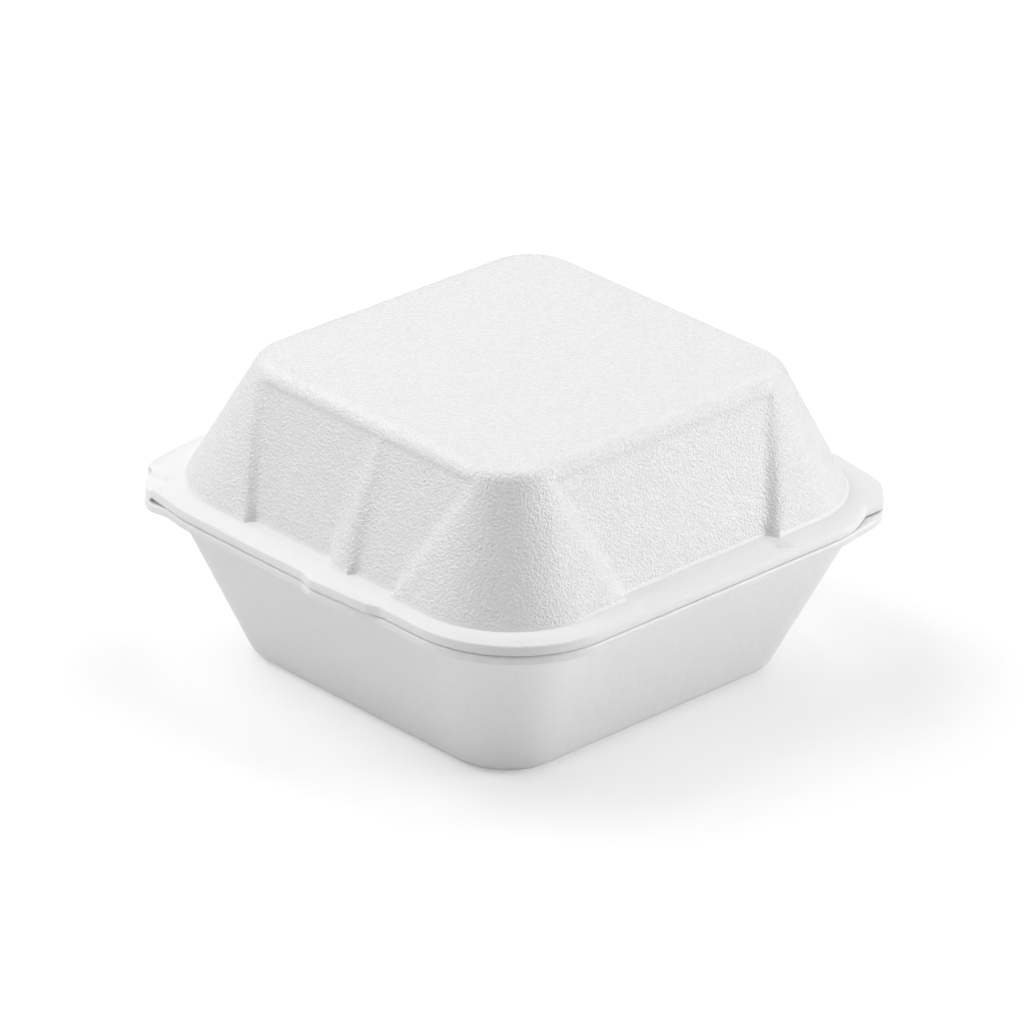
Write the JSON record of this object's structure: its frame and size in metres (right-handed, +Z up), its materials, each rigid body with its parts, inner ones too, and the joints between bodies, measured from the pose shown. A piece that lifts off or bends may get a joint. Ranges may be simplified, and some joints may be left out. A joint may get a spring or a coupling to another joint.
{
  "type": "foam clamshell container",
  "caption": "Square hinged takeaway food box of pressed white polystyrene foam, with a tapered tray and a domed lid with cone-shaped corner flutes, closed.",
  "frame": {"origin": "middle of the flat underside of the tray, which rests on the table", "axes": "+Z up; -Y is the front with the thumb tab; +Y is the back with the fold; +X is to the right seen from the front"},
  "size_m": [0.144, 0.1515, 0.0823],
  "materials": {
    "foam_tray": "matte",
    "foam_lid": "matte",
    "crushed_foam": "satin"
  },
  "bodies": {
    "tray": {"base_tray": "foam_tray", "hinge_strip": "crushed_foam"},
    "lid": {"lid": "foam_lid"}
  },
  "joints": [
    {"name": "lid_hinge", "type": "hinge", "parent": "tray", "child": "lid", "pos_m": [0, 0.0747, 0.045], "axis": [-1, 0, 0], "range_deg": [0, 180], "deforming": ["hinge_strip"]}
  ]
}
